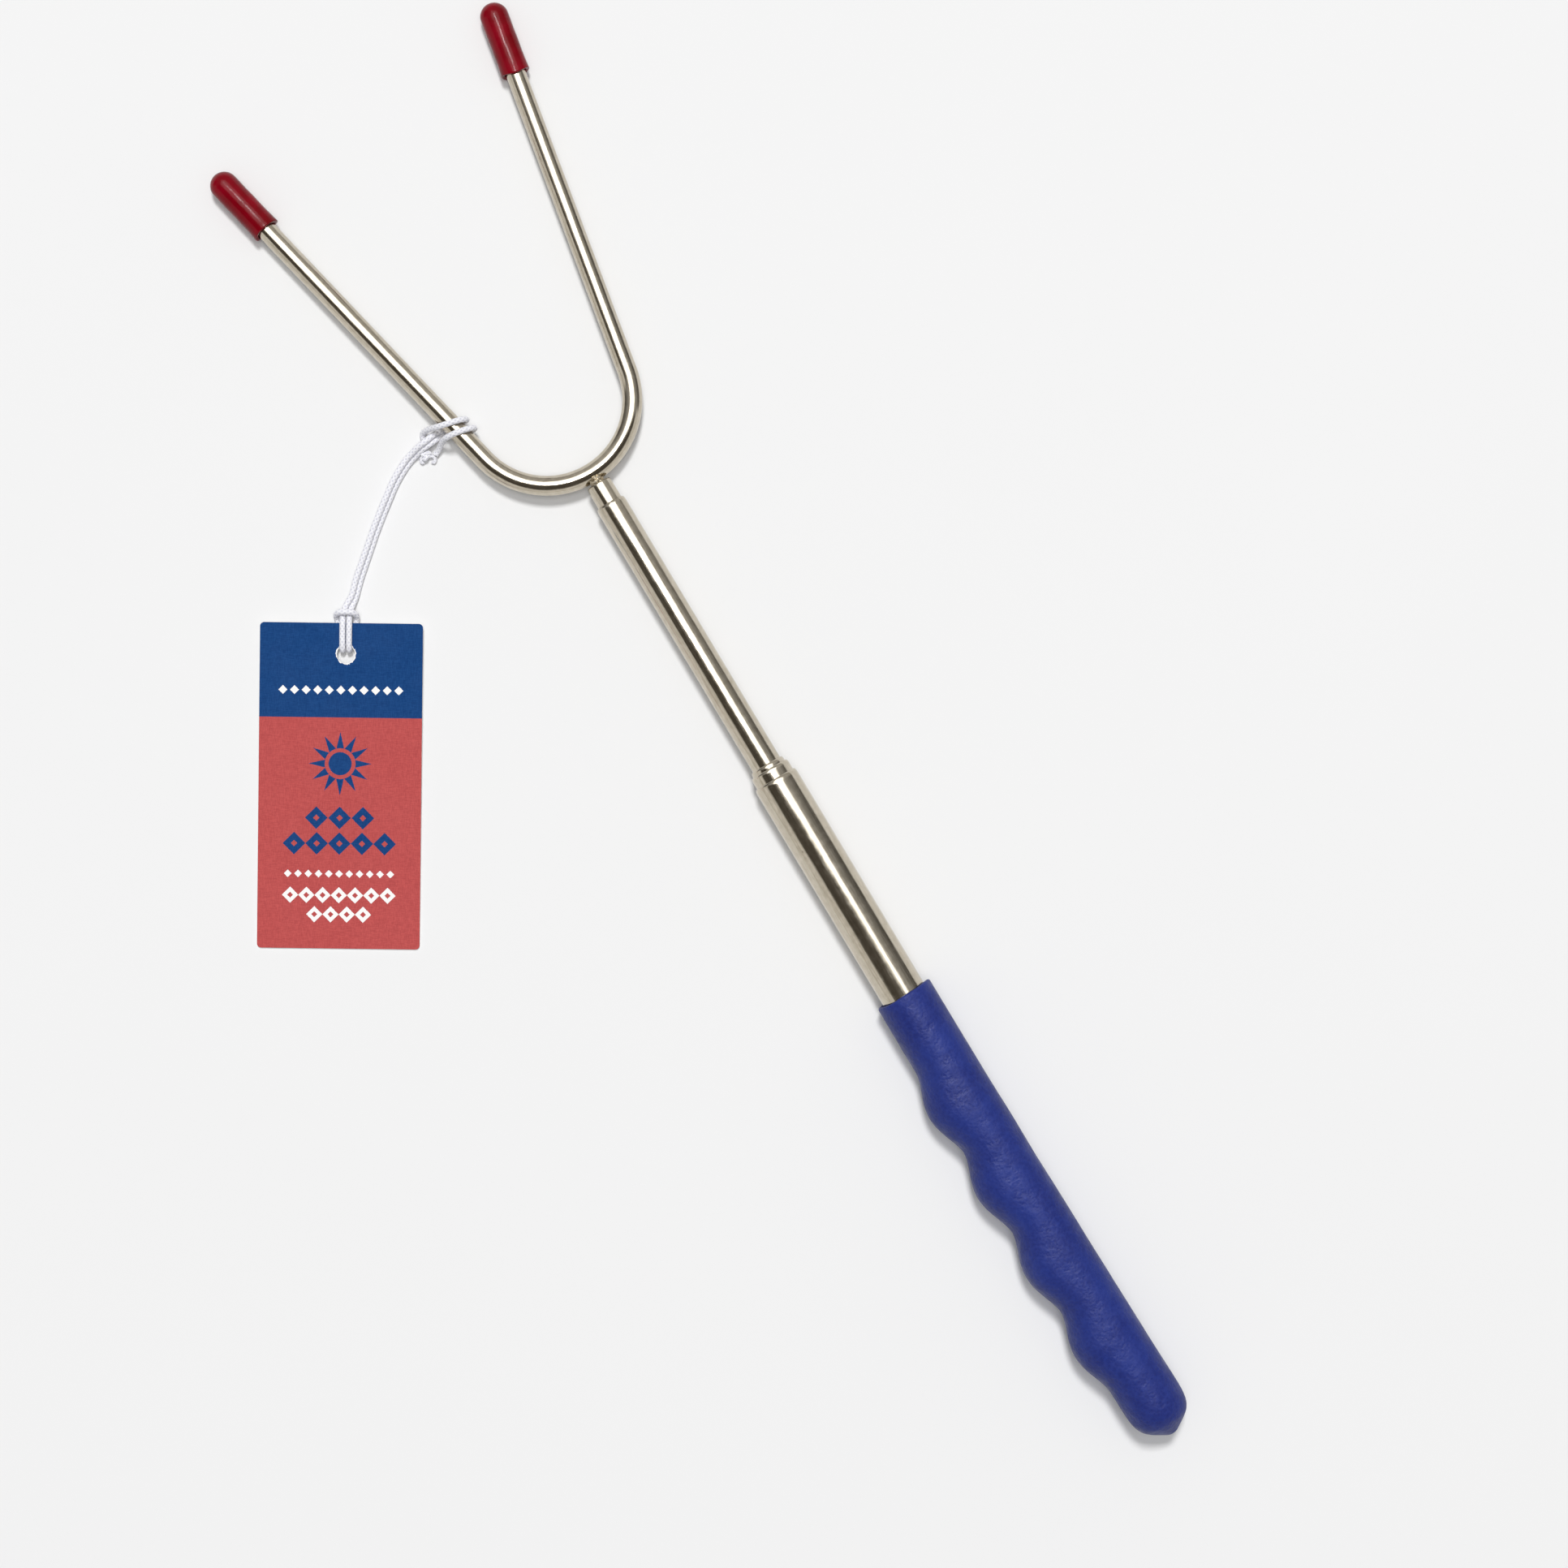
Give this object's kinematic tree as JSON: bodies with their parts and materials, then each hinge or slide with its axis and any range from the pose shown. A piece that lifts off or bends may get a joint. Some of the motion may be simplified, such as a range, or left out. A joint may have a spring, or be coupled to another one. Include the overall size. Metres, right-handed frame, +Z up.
{
  "type": "marshmallow roasting fork",
  "caption": "Telescopic two-prong roasting fork with a finger-ridged vinyl grip, vinyl tip caps and a card tag on an elastic cord, lying flat.",
  "frame": {"origin": "on the table, under the middle of the tool's length and width, leaving out the cord and tag; the pole's axis is 2.15 mm to +X, because the fork leans a little towards -X", "axes": "+Z up from the table; +Y along the pole towards the fork; +X away from the finger ridges. The tool rests on its grip's mouth and its tip caps, so its axis drops 0.84 degrees towards the fork."},
  "size_m": [0.1624, 0.3672, 0.0158],
  "materials": {
    "grip_vinyl": "satin blue vinyl with a fine moulded grain",
    "tube_steel": "bright, finely brushed along the tube",
    "wire_steel": "bright drawn wire",
    "weld_metal": "straw-tinted weld",
    "shim_bronze": "rubbed spring bronze",
    "cap_vinyl": "glossy dipped red vinyl",
    "cord_elastic": "white braided elastic",
    "tag_card": "printed textured card, blue over coral"
  },
  "bodies": {
    "handle": {"grip": "grip_vinyl", "outer_tube": "tube_steel"},
    "second_section": {"second_tube": "tube_steel", "second_shim_top": "shim_bronze", "second_shim_bottom": "shim_bronze"},
    "third_section": {"third_tube": "tube_steel", "third_shim_top": "shim_bronze", "third_shim_bottom": "shim_bronze"},
    "fourth_section": {"fourth_tube": "tube_steel", "fourth_shim_top": "shim_bronze", "fourth_shim_bottom": "shim_bronze"},
    "stem_shims": {"stem_shim_top": "shim_bronze", "stem_shim_bottom": "shim_bronze"},
    "fork": {"fork_stem": "tube_steel", "fork_wire": "wire_steel", "fork_weld": "weld_metal", "cord_lower_wrap": "cord_elastic", "cord_low_strand": "cord_elastic", "cord_tag_hitch": "cord_elastic", "cord_high_strand": "cord_elastic", "cord_upper_wrap": "cord_elastic", "cord_knot": "cord_elastic", "hang_tag": "tag_card"},
    "left_cap": {"tip_cap_left": "cap_vinyl"},
    "right_cap": {"tip_cap_right": "cap_vinyl"}
  },
  "joints": [
    {"name": "second_slide", "type": "slide", "parent": "handle", "child": "second_section", "axis": [0, 0.9999, -0.0147], "range_m": [0, 0.1566]},
    {"name": "third_slide", "type": "slide", "parent": "second_section", "child": "third_section", "axis": [0, 0.9999, -0.0147], "range_m": [0, 0.1471]},
    {"name": "fourth_slide", "type": "slide", "parent": "third_section", "child": "fourth_section", "axis": [0, 0.9999, -0.0147], "range_m": [-0.0698, 0.0661]},
    {"name": "stem_slide", "type": "slide", "parent": "fourth_section", "child": "stem_shims", "axis": [0, 0.9999, -0.0147], "range_m": [0, 0.1244]},
    {"name": "fork_spin", "type": "hinge", "parent": "stem_shims", "child": "fork", "pos_m": [0.00215, 0, 0.006], "axis": [0, 0.9999, -0.0147], "continuous": true},
    {"name": "left_cap_pull", "type": "slide", "parent": "fork", "child": "left_cap", "axis": [-0.2198, 0.9754, -0.0143], "range_m": [0, 0.025]},
    {"name": "right_cap_pull", "type": "slide", "parent": "fork", "child": "right_cap", "axis": [0.1788, 0.9838, -0.0145], "range_m": [0, 0.025]}
  ]
}
